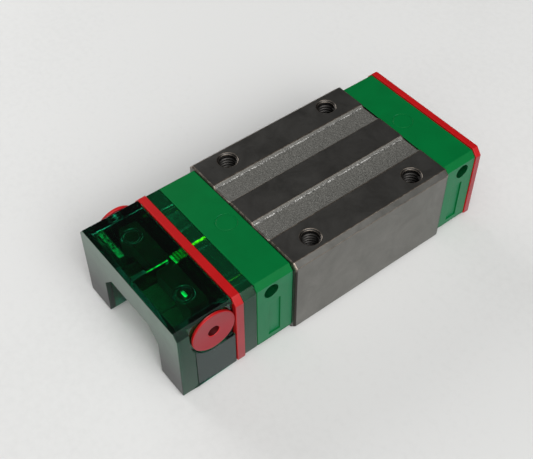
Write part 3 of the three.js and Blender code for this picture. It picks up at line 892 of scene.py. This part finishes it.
def steel_block():
    body = make("steel_block_body", prism(bmesh.new(), block_outline(), BLOCK_LOW.y, BLOCK_HIGH.y))
    cutters = bmesh.new()
    hole = [
        (0, -HOLE_TIP),
        (HOLE_RADIUS, -HOLE_DEPTH),
        (HOLE_RADIUS, HOLE_RADIUS - HOLE_MOUTH),
        (HOLE_MOUTH + HOLE_FLARE, HOLE_FLARE),
        (0, HOLE_FLARE),
    ]
    for side in (-1, 1):
        for z in (UPPER_Z, LOWER_Z):
            through(cutters, side * RETURN_X, z, BORE_RADIUS, BLOCK_LOW, BLOCK_HIGH, 40)
        for end in (-1, 1):
            turned(cutters, hole, (side * HOLE_OFFSET, end * HOLE_OFFSET, 0), "Z", 48)
            start = (side * END_SCREW_X, end * (BLOCK_HIGH.y - BLOCK_SCREW_DEPTH), END_SCREW_Z)
            length = BLOCK_SCREW_DEPTH + PAST
            drill(cutters, start, toward("Y", end), BLOCK_SCREW_RADIUS, length, 24)
    cut(body, cutters)
    paint(body, [LAND, SIDE, GROOVE, WORN_EDGE_AND_REFLECTION, SHADED_BORE, FOOT_GLINT, LIT_GROOVE_WALL, SHADED_LONG_BEVEL], block_rule)

    def weight(middle):
        at_end = min(abs(middle.y - BLOCK_LOW.y), abs(middle.y - BLOCK_HIGH.y)) < ON_FACE
        inside = middle.z < CHANNEL_TOP + NEAR and abs(middle.x) < RETURN_X + BORE_RADIUS + NEAR
        mouth_share, other_share = 0.18, 0.22
        if from_hole(middle) < HOLE_AREA:
            return mouth_share if middle.z > -1 else 0.0
        return 1.0 if at_end and not inside else other_share

    soften(body, END_CHAMFER, 3, weight, edge_material=3)
    threads = bmesh.new()
    for x in (-HOLE_OFFSET, HOLE_OFFSET):
        for y in (-HOLE_OFFSET, HOLE_OFFSET):
            thread(threads, x, y)
    coils = smooth_by_angle(paint(make("mounting_hole_threads", threads), [SHADED_BORE]), 40)
    settle(coils, "carriage", "ground_steel")
    settle(body, "carriage", "ground_steel", "steel_block")


# ---- end caps


def turn_pockets(bm, inner, direction):
    """The stadium-shaped ball turns, cut into a cap from its inner face."""
    for side in (-1, 1):
        for z in (UPPER_Z, LOWER_Z):
            low, high = sorted((side * LOAD_X, side * RETURN_X))
            outline = arc(high, z, BORE_RADIUS, -90, 90, 12)
            outline += arc(low, z, BORE_RADIUS, 90, 270, 12)
            prism(bm, outline, *sorted((inner - direction, inner + direction * TURN_DEPTH)))


def end_cap(name, node, direction):
    """direction is +1 for the cap at the plain end and -1 for the one at the cartridge end."""
    low, high = span(node)
    inner = low.y if direction > 0 else high.y
    outer = high.y if direction > 0 else low.y
    outline = plate_outline(low, high, PLATE_BEVEL, CAP_NOSE_X)
    cap = make(name, prism(bmesh.new(), outline, low.y, high.y))
    cutters = bmesh.new()
    turn_pockets(cutters, inner, direction)
    screw_holes(cutters, low, high)
    port_y = inner + direction * PORT_INSET
    for side in (-1, 1):
        port = (side * (high.x - PORT_DEPTH), port_y, PORT_Z)
        drill(cutters, port, toward("X", side), PORT_RADIUS, PORT_DEPTH + PAST, 40)
        block_between(
            cutters,
            (side * (high.x - PANEL_DEPTH), inner + direction * PANEL_NEAR, PANEL_BOTTOM),
            (side * (high.x + PAST), inner + direction * PANEL_FAR, PANEL_TOP),
        )
    port = (0, outer - direction * CAP_PORT_DEPTH, END_PORT_Z)
    drill(cutters, port, toward("Y", direction), CAP_PORT_RADIUS, CAP_PORT_DEPTH + PAST)
    cut(cap, cutters)
    # The faint round mould mark in the middle of the top: a groove around a sunken disc.
    centre = (0, inner + direction * MARK_INSET, high.z)
    slope = MARK_GROOVE / 5
    profile = [
        (0, -MARK_DEPTH),
        (MARK_RADIUS - MARK_GROOVE, -MARK_DEPTH),
        (MARK_RADIUS - MARK_GROOVE + slope, -2 * MARK_DEPTH),
        (MARK_RADIUS - slope, -2 * MARK_DEPTH),
        (MARK_RADIUS, 2 * MARK_DEPTH),
        (0, 2 * MARK_DEPTH),
    ]
    cut(cap, turned(bmesh.new(), profile, centre, "Z", 64))

    def rule(middle, normal):
        # The inside of a side port takes the dark green: painted shade.
        in_port = math.hypot(middle.y - port_y, middle.z - PORT_Z) < PORT_RADIUS + ON_FACE
        if in_port and abs(middle.x) < high.x - ON_FACE:
            return 1
        # Side faces take the bluer cap green: painted sheen.
        return 2 if abs(normal.x) > 0.9 else 0

    paint(cap, [GREEN, SHADED_PORT_GREEN, GREEN_SIDE_SHEEN], rule)

    def weight(middle):
        mark_share, panel_share, inner_share = 0.08, 0.4, 0.35
        mark = math.hypot(middle.x - centre[0], middle.y - centre[1]) < MARK_RADIUS + NEAR
        if mark and middle.z > high.z - 2 * NEAR:
            return mark_share
        on_side = abs(abs(middle.x) - high.x) < PANEL_DEPTH + NEAR
        if on_side and PANEL_BOTTOM - NEAR < middle.z < PORT_Z + PORT_RADIUS + OVERLAP:
            return panel_share
        inside = abs(middle.x) < high.x - PAST / 2 and middle.z < high.z - NEAR
        return inner_share if inside else 1.0

    soften(cap, CAP_EDGE, 3, weight)
    settle(cap, "carriage", "green_plastic", node)


# ---- seals and connector


def end_seal(name, node, chamfered):
    """A thin plate. Where chamfered, the rim of its free face is drawn in to a thin lip."""
    low, high = span(node)
    outline = plate_outline(low, high, SEAL_BEVEL, SEAL_NOSE_X, SEAL_CORNER)
    sections = [(low.y, outline), (high.y, outline)]
    if chamfered:
        drawn_in = Vector((SEAL_CHAMFER, 0, SEAL_CHAMFER))
        lip = plate_outline(low + drawn_in, high - drawn_in, SEAL_BEVEL, SEAL_NOSE_X, SEAL_CORNER)
        sections[1:] = [(high.y - SEAL_CHAMFER, outline), (high.y, lip)]
    seal = make(name, loft(bmesh.new(), *sections))
    cutters = bmesh.new()
    screw_holes(cutters, low, high)
    cut(seal, through(cutters, 0, END_PORT_Z, END_PORT_RADIUS, low, high, 40))
    # The side faces take the darker, pinker red: painted shade and sheen.
    paint(seal, [RED, RED_SEAL_SIDE_SHADE], lambda middle, normal: int(abs(normal.x) > 0.9))
    soften(seal, SEAL_EDGE, 3)
    settle(seal, "carriage", "red_plastic", node)


def connector_plate():
    low, high = PLATE_LOW, PLATE_HIGH
    outline = plate_outline(low, high, PLATE_BEVEL, CAP_NOSE_X)
    plate = make("connector_plate", prism(bmesh.new(), outline, low.y, high.y))
    felt_low, felt_high = span("oil_conveyor_felt")
    gap = Vector((GAP, GAP, GAP))
    pocket_low = felt_low - gap
    pocket_low.y = low.y - PAST
    cut(plate, box(pocket_low, felt_high + gap))
    cutters = bmesh.new()
    screw_holes(cutters, low, high)
    cut(plate, through(cutters, 0, END_PORT_Z, PLATE_PORT_RADIUS, low, high, 32))
    slot = (SLOT_HALF, high.y + PAST, SLOT_TOP)
    slot_end = (-SLOT_HALF, high.y - SLOT_LENGTH, SLOT_BOTTOM)
    cut(plate, box(slot_end, slot))

    def rule(middle, normal):
        across = abs(middle.x) < SLOT_HALF + ON_FACE
        if across and SLOT_BOTTOM - ON_FACE < middle.z < SLOT_TOP + ON_FACE:
            return 2
        # The side faces take the grey-green haze: painted sheen.
        return int(abs(normal.x) > 0.9)

    paint(plate, [DENSE_GREEN, HAZED_STRIP_SHEEN, LIT_GREEN], rule)
    soften(plate, PLATE_EDGE, 3)
    settle(plate, "carriage", "dark_green_plastic", "oil_connector_plate")


# ---- oil cartridge


def pocket_outline():
    """The plug's pocket in y and z: open to the top and the back, round at its front corner."""
    radius = PLUG_RADIUS + POCKET_MARGIN
    return [
        (TANK_HIGH.y + PAST, TANK_HIGH.z + 2 * PAST),
        (PLUG_Y - radius, TANK_HIGH.z + 2 * PAST),
        *arc(PLUG_Y, PLUG_Z, radius, 180, 270, 16),
        (TANK_HIGH.y + PAST, PLUG_Z - radius),
    ]


def cartridge_shell():
    low, high = TANK_LOW, TANK_HIGH
    outline = filleted(tank_outline(), OUTLINE_CORNER)
    shell = make("cartridge_shell", prism(bmesh.new(), outline, low.y, high.y))
    cavity = filleted(tank_outline(TANK_WALL, TANK_SIDE_WALL), CAVITY_CORNER)
    cut(shell, prism(bmesh.new(), cavity, low.y + TANK_WALL, high.y + PAST))
    for side in (-1, 1):
        outside = side * (high.x + PAST)
        sides = sorted((side * (high.x - POCKET_DEPTH), outside))
        cut(shell, loft(bmesh.new(), *((x, pocket_outline()) for x in sides), axis=0))
        hole = (side * (high.x - SPIGOT_DEPTH), PLUG_Y, PLUG_Z)
        length = SPIGOT_DEPTH + PAST
        cut(shell, drill(bmesh.new(), hole, toward("X", side), SPIGOT_RADIUS + GAP, length, 40))
        panel = (side * (high.x - PANEL_STEP), low.y + PANEL_FRONT, low.z - PAST)
        cut(shell, box(panel, (outside, high.y + PAST, PLUG_Z)))

    rib_floor = TANK_ROOF + TANK_WALL / 2
    rib = (-RIB_HALF, low.y + TANK_WALL / 2, rib_floor)
    rib_end = (RIB_HALF, low.y + RIB_STEP, high.z - TANK_WALL / 2)
    add(shell, box(rib, rib_end))
    crest = mirrored([
        (CREST_HALF, RIB_CREST),
        (RIB_HALF, RIB_CREST - CREST_SLOPE),
        (RIB_HALF, rib_floor),
    ])
    add(shell, prism(bmesh.new(), crest, low.y + RIB_STEP - OVERLAP, low.y + RIB_DEPTH))

    ceiling = high.z - TANK_WALL
    above = ceiling + OVERLAP
    below = ceiling - BOSS_DEPTH
    post = [(BOSS_INNER, above), (BOSS_INNER, below), (BOSS_RADIUS, below), (BOSS_RADIUS, above)]
    for side in (-1, 1):
        place = (side * BOSS_X, BOSS_Y, 0)
        add(shell, turned(bmesh.new(), post, place, "Z", 40, hollow=True))
    tab = (BOSS_X - TAB_X, BOSS_Y - TAB_Y, below)
    add(shell, box(tab, (BOSS_X + TAB_X, BOSS_Y + TAB_Y, above)))
    bar = (BAR_X[0], BAR_Y[0], ceiling - BAR_DEPTH)
    add(shell, box(bar, (BAR_X[1], BAR_Y[1], above)))

    def rule(middle, normal):
        clear, frosted_face_reflection, side, strip, bevel, bright, dim, channel, foot = range(9)
        # The front face takes the pale haze: painted reflection.
        if normal.y < -0.9 and middle.y < low.y + ON_FACE:
            return frosted_face_reflection
        # The side faces take the grey-green haze: painted sheen.
        if abs(middle.x) > high.x - 2 * NEAR and abs(normal.x) > 0.9:
            return side if middle.y > low.y + PANEL_FRONT else strip
        # The top side bevel faces take the dark tint: painted shade.
        if abs(normal.x) > 0.3 and normal.z > 0.3 and abs(middle.x) > high.x - TANK_BEVEL[0]:
            return bevel
        # The bottom faces take the dark tint: painted shade.
        if middle.z < low.z + ON_FACE:
            return foot
        in_channel = abs(middle.x) < TANK_CHANNEL + ON_FACE and middle.z < TANK_ROOF + ON_FACE
        over_channel = abs(middle.z - TANK_ROOF - TANK_WALL) < ON_FACE and abs(normal.z) > 0.9
        if in_channel or over_channel:
            return channel
        # The rib's crest and the posts take the glowing green: painted glow.
        on_crest = abs(middle.x) < CREST_HALF + ON_FACE and abs(middle.z - RIB_CREST) < ON_FACE
        from_boss = math.hypot(abs(middle.x) - BOSS_X, middle.y - BOSS_Y)
        if on_crest or (from_boss < 2 * NEAR and ceiling - 2 * PAST < middle.z < below + NEAR):
            return bright
        # The bar's underside takes the glowing green: painted glow.
        on_bar = BAR_X[0] < middle.x < BAR_X[1] and BAR_Y[0] < middle.y < BAR_Y[1]
        return dim if on_bar and abs(middle.z - ceiling + BAR_DEPTH) < ON_FACE else clear

    finishes = [TANK_GREEN, FROSTED_FACE_REFLECTION, HAZED_SIDE_SHEEN, HAZED_STRIP_SHEEN, HAZED_BEVEL_SHADE, CREST_AND_BOSS_GLOW_GREEN]
    finishes += [BAR_GLOW_GREEN, CHANNEL_GREEN, SHADED_FOOT_GREEN]
    paint(shell, finishes, rule)
    soften(shell, TANK_EDGE, 3)
    settle(shell, "cartridge", "dark_green_plastic", "oil_cartridge")


def cartridge_lid():
    low, high = LID_LOW, LID_HIGH
    outline = filleted(tank_outline(TANK_WALL + GAP, TANK_SIDE_WALL + GAP), CAVITY_CORNER)
    lid = make("cartridge_back_lid", prism(bmesh.new(), outline, low.y, high.y))
    cutters = bmesh.new()
    for side in (-1, 1):
        start = (side * END_SCREW_X, high.y - PAST, END_SCREW_Z)
        drill(cutters, start, "Y", END_HEAD_RADIUS + OVERLAP, 2 * PAST)
    window = (NOZZLE_LOW.x - GAP, low.y - PAST, NOZZLE_LOW.z - GAP)
    block_between(cutters, window, (NOZZLE_HIGH.x + GAP, high.y + PAST, NOZZLE_HIGH.z + GAP))
    cut(lid, cutters)
    paint(lid, [TANK_GREEN])
    soften(lid, FEED_EDGE)
    settle(lid, "cartridge", "dark_green_plastic", "cartridge_lid")


def feed_nozzle():
    low, high = NOZZLE_LOW, NOZZLE_HIGH
    back = LID_HIGH.y
    nozzle = make("feed_nozzle_body", box(low, (high.x, back, high.z)))
    reach = high.y - back
    tip = [
        (0, -OVERLAP),
        (NOZZLE_TIP_RADIUS, -OVERLAP),
        (NOZZLE_TIP_RADIUS, reach - NOZZLE_TIP_EDGE[1]),
        (NOZZLE_TIP_RADIUS - NOZZLE_TIP_EDGE[0], reach),
        (0, reach),
    ]
    add(nozzle, turned(bmesh.new(), tip, (0, back, END_PORT_Z)))
    cut(nozzle, through(bmesh.new(), 0, END_PORT_Z, NOZZLE_BORE, low, high, 20))
    pitch = (back - low.y) / NOZZLE_BANDS
    half = pitch * BAND_SHARE
    band_floor = high.z - BAND_DEPTH
    above = high.z + PAST
    for i in range(1, NOZZLE_BANDS):
        y = low.y + i * pitch
        band = (low.x + BAND_START / 2, y - half, band_floor)
        cut(nozzle, box(band, (high.x + PAST, y + half, above)))
    spine = (low.x - PAST, low.y - PAST, band_floor)
    cut(nozzle, box(spine, (low.x + BAND_START, back, above)))

    def rule(middle, normal):
        # The nozzle's top faces take the glowing green: painted glow.
        on_top = normal.z > 0.9 and middle.z > high.z - BAND_DEPTH / 2
        return 0 if on_top and middle.y < back else 1

    paint(nozzle, [FEED_TOP_GLOW_GREEN, DENSE_GREEN], rule)
    soften(nozzle, FEED_EDGE)
    settle(nozzle, "cartridge", "clear_green_plastic", "feed_nozzle")


def fill_plug(side, name, node):
    """A moulded disc with a rounded rim, a shallow dished face and a blind centre hole."""
    face, spigot_end = PLUG_HIGH.x, PLUG_LOW.x
    back = face - PLUG_DISC
    dish = face - PLUG_DISH
    hole_floor = face - PLUG_HOLE_DEPTH
    profile = [
        (0, spigot_end),
        (SPIGOT_RADIUS - SPIGOT_LEAD, spigot_end),
        (SPIGOT_RADIUS - GAP, spigot_end + 0.4),
        (SPIGOT_RADIUS, spigot_end + 0.8),
        (SPIGOT_RADIUS - SPIGOT_NECK, spigot_end + 1.0),
        (SPIGOT_RADIUS - SPIGOT_NECK, back - 0.3),
        (SPIGOT_RADIUS, back),
        (PLUG_RADIUS - PLUG_EDGE, back),
        (PLUG_RADIUS, back + PLUG_EDGE),
        (PLUG_RADIUS, face - PLUG_RIM),
        *arc(PLUG_RADIUS - PLUG_RIM, face - PLUG_RIM, PLUG_RIM, 22, 90, 4),
        (PLUG_RADIUS - PLUG_DISH_RIM, face),
        (PLUG_RADIUS - PLUG_DISH_RIM - PLUG_EDGE, dish),
        (PLUG_HOLE + 0.28, dish),
        (PLUG_HOLE + 0.1, face - 0.06),
        (PLUG_HOLE, face - PLUG_RIM),
        (PLUG_HOLE, hole_floor + PLUG_HOLE_CORNER),
        (PLUG_HOLE - PLUG_HOLE_CORNER, hole_floor),
        (0, hole_floor),
    ]
    place = (0, PLUG_Y, PLUG_Z)
    plug = make(name, turned(bmesh.new(), profile, place, toward("X", side), 96))

    def rule(middle, normal):
        from_axis = math.hypot(middle.y - PLUG_Y, middle.z - PLUG_Z)
        if from_axis < PLUG_HOLE + ON_FACE and abs(middle.x) > hole_floor - ON_FACE:
            return 2
        # Flat faces take the darker red as painted shade; the rim takes the brighter red.
        return int(abs(normal.x) < 0.9)

    smooth_by_angle(paint(plug, [RED_PLUG_FACE_SHADE, RED, RED_SHADE], rule), 50)
    settle(plug, node, "red_rubber", node)


# ---- balls, retainers, screws


def ball_row(name, node, body):
    low, high = span(node)
    centre = (low + high) / 2
    balls = bmesh.new()
    for i in range(BALL_COUNT):
        y = centre.y + (2 * i + 1 - BALL_COUNT) * BALL_RADIUS
        place = Matrix.Translation(Vector((centre.x, y, centre.z)) * MM)
        bmesh.ops.create_uvsphere(
            balls, u_segments=28, v_segments=18, radius=BALL_RADIUS * MM, matrix=place
        )
    row = make(name, balls)
    smooth_by_angle(paint(row, [BRIGHT]), 60)
    settle(row, body, "ball_steel", node)


def end_screw(name, node, direction):
    """A pan-head screw with a cross recess. direction is the way its head faces along Y."""
    low, high = span(node)
    centre = (low + high) / 2
    head_out, tip = (high.y, low.y) if direction > 0 else (low.y, high.y)
    length = abs(head_out - tip)
    under = length - HEAD_HEIGHT
    dome = [
        (END_HEAD_RADIUS * math.cos(a / 10), length - HEAD_DOME + HEAD_DOME * math.sin(a / 10))
        for a in range(1, 14)
    ]
    profile = [
        (0, 0),
        (END_SCREW_RADIUS - SCREW_POINT, 0),
        (END_SCREW_RADIUS, SCREW_LEAD),
        (END_SCREW_RADIUS, under),
        (END_HEAD_RADIUS - HEAD_RIM, under),
        (END_HEAD_RADIUS, under + HEAD_RIM),
        *dome,
        (0, length),
    ]
    place = (centre.x, tip, centre.z)
    screw = make(name, turned(bmesh.new(), profile, place, toward("Y", direction), 40))
    floor = head_out - direction * RECESS_DEPTH
    outside = head_out + direction * PAST
    for x, z in ((RECESS_LENGTH, RECESS_WIDTH), (RECESS_WIDTH, RECESS_LENGTH)):
        corner = (centre.x - x, floor, centre.z - z)
        cut(screw, box(corner, (centre.x + x, outside, centre.z + z)))
    smooth_by_angle(paint(screw, [SCREW]), 35)
    settle(screw, "carriage", "dark_screw", node)


def grease_plug():
    low, high = span("grease_plug_screw")
    centre = (low + high) / 2
    radius = (high.x - low.x) / 2
    length = high.y - low.y
    edge = 0.25
    profile = [
        (0, 0),
        (radius - SCREW_LEAD, 0),
        (radius, SCREW_LEAD),
        (radius, length - edge),
        (radius - edge, length),
        (0, length),
    ]
    place = (centre.x, low.y, centre.z)
    plug = make("grease_port_screw", turned(bmesh.new(), profile, place, "Y", 48))
    socket = (centre.x, high.y - SOCKET_DEPTH, centre.z)
    cut(plug, drill(bmesh.new(), socket, "Y", SOCKET_RADIUS, SOCKET_DEPTH + PAST, 6))
    paint(plug, [SCREW])
    soften(plug, 0.06)
    settle(plug, "carriage", "dark_screw", "grease_plug_screw")


def finish_cad_node(node, material, width):
    """A CAD part whose shape is right keeps its mesh and gets soft edges and a real finish."""
    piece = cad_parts[node]
    piece.data.materials.clear()
    piece.data.materials.append(material)
    weld = piece.modifiers.new("weld", "WELD")
    weld.merge_threshold = 0.001 * MM
    bevel = piece.modifiers.new("soften", "BEVEL")
    bevel.width = width * MM
    bevel.segments = 2
    bevel.limit_method = "ANGLE"
    bevel.angle_limit = math.radians(35)
    bevel.harden_normals = True


# ---- the object

steel_block()
end_cap("far_cap_moulding", "far_end_cap", 1)
end_cap("near_cap_moulding", "near_end_cap", -1)
end_seal("far_wiping_seal", "far_end_seal", True)
end_seal("near_wiping_seal", "near_end_seal", False)
connector_plate()
cartridge_shell()
cartridge_lid()
feed_nozzle()
for side, side_name in ((-1, "left"), (1, "right")):
    fill_plug(side, f"{side_name}_plug_moulding", f"{side_name}_fill_plug")
    for level in ("upper", "lower"):
        for kind in ("load", "return"):
            row = f"{level}_{side_name}_{kind}"
            ball_row(f"{row}_steel_balls", f"{row}_balls", f"{row}_row")
    end_screw(f"far_{side_name}_pan_screw", f"far_{side_name}_end_screw", 1)
    end_screw(f"near_{side_name}_pan_screw", f"near_{side_name}_end_screw", -1)
    finish_cad_node(f"{side_name}_side_retainer", BLACK, 0.08)
    finish_cad_node(f"{side_name}_dust_seal", SEAL_BLACK, 0.08)
    finish_cad_node(f"{side_name}_oil_wick", FELT, 0.2)
    for end in ("near", "far"):
        finish_cad_node(f"{end}_{side_name}_return_guide", BLACK, 0.06)
grease_plug()
finish_cad_node("upper_ball_retainer", BLACK, 0.12)
finish_cad_node("oil_conveyor_felt", FELT, 0.1)

# ---- floor, light and camera

FLOOR_SIDE = 6.0

floor_mesh = bmesh.new()
bmesh.ops.create_grid(
    floor_mesh,
    x_segments=1,
    y_segments=1,
    size=FLOOR_SIDE / 2,
    matrix=Matrix.Translation((0, 0, BLOCK_LOW.z * MM)),
)
floor = paint(make("floor", floor_mesh), [pale_floor()])


def area_light(name, place, aim, size, power):
    light = bpy.data.lights.new(name, "AREA")
    light.shape = "DISK"
    light.size = size
    light.energy = power
    lamp = bpy.data.objects.new(name, light)
    lamp.location = place
    lamp.rotation_euler = (Vector(aim) - Vector(place)).to_track_quat("-Z", "Y").to_euler()
    bpy.context.scene.collection.objects.link(lamp)


area_light("key_light", (0.88, -0.1, 0.85), (0, 0, 0), 0.8, 8.5)
area_light("low_fill_light", (-1.0, -0.1, 0.36), (0, 0, 0), 0.8, 6.5)


def soft_room(direction, base, peak, tightness):
    """A dim room with one broad soft glow around the given direction."""
    world = bpy.data.worlds.new("soft_room")
    world.use_nodes = True
    tree = world.node_tree
    place = tree.nodes.new("ShaderNodeTexCoord").outputs["Generated"]
    facing = tree.nodes.new("ShaderNodeVectorMath")
    facing.operation = "DOT_PRODUCT"
    tree.links.new(place, facing.inputs[0])
    facing.inputs[1].default_value = Vector(direction).normalized()
    value = facing.outputs["Value"]
    for operation, amount in (
        ("MAXIMUM", 0.0), ("POWER", tightness), ("MULTIPLY", peak), ("ADD", base)
    ):
        step = tree.nodes.new("ShaderNodeMath")
        step.operation = operation
        tree.links.new(value, step.inputs[0])
        step.inputs[1].default_value = amount
        value = step.outputs["Value"]
    background = tree.nodes["Background"]
    background.inputs["Color"].default_value = (1.0, 1.0, 0.99, 1)
    tree.links.new(value, background.inputs["Strength"])
    return world


bpy.context.scene.world = soft_room((0.7, -0.33, 0.63), 0.05, 2.35, 3.0)
bpy.context.scene.view_settings.view_transform = "Standard"

AZIMUTH = math.radians(52.01)
ELEVATION = math.radians(48.67)
ROLL = math.radians(-0.2)
CAMERA_AIM = Vector((0.00086, -0.01393, -0.00813))
CAMERA_DISTANCE = 0.18563
SENSOR_WIDTH = 36
LENS = 62.94

back = Vector((
    math.sin(AZIMUTH) * math.cos(ELEVATION),
    -math.cos(AZIMUTH) * math.cos(ELEVATION),
    math.sin(ELEVATION),
))
camera_data = bpy.data.cameras.new("camera")
camera_data.sensor_width = SENSOR_WIDTH
camera_data.lens = LENS
camera_data.clip_start = 0.01
camera = bpy.data.objects.new("camera", camera_data)
bpy.context.scene.collection.objects.link(camera)
camera.rotation_mode = "QUATERNION"
facing = (-back).to_track_quat("-Z", "Y")
camera.rotation_quaternion = facing @ Matrix.Rotation(ROLL, 3, "Z").to_quaternion()
camera.location = CAMERA_AIM + back * CAMERA_DISTANCE
bpy.context.scene.camera = camera
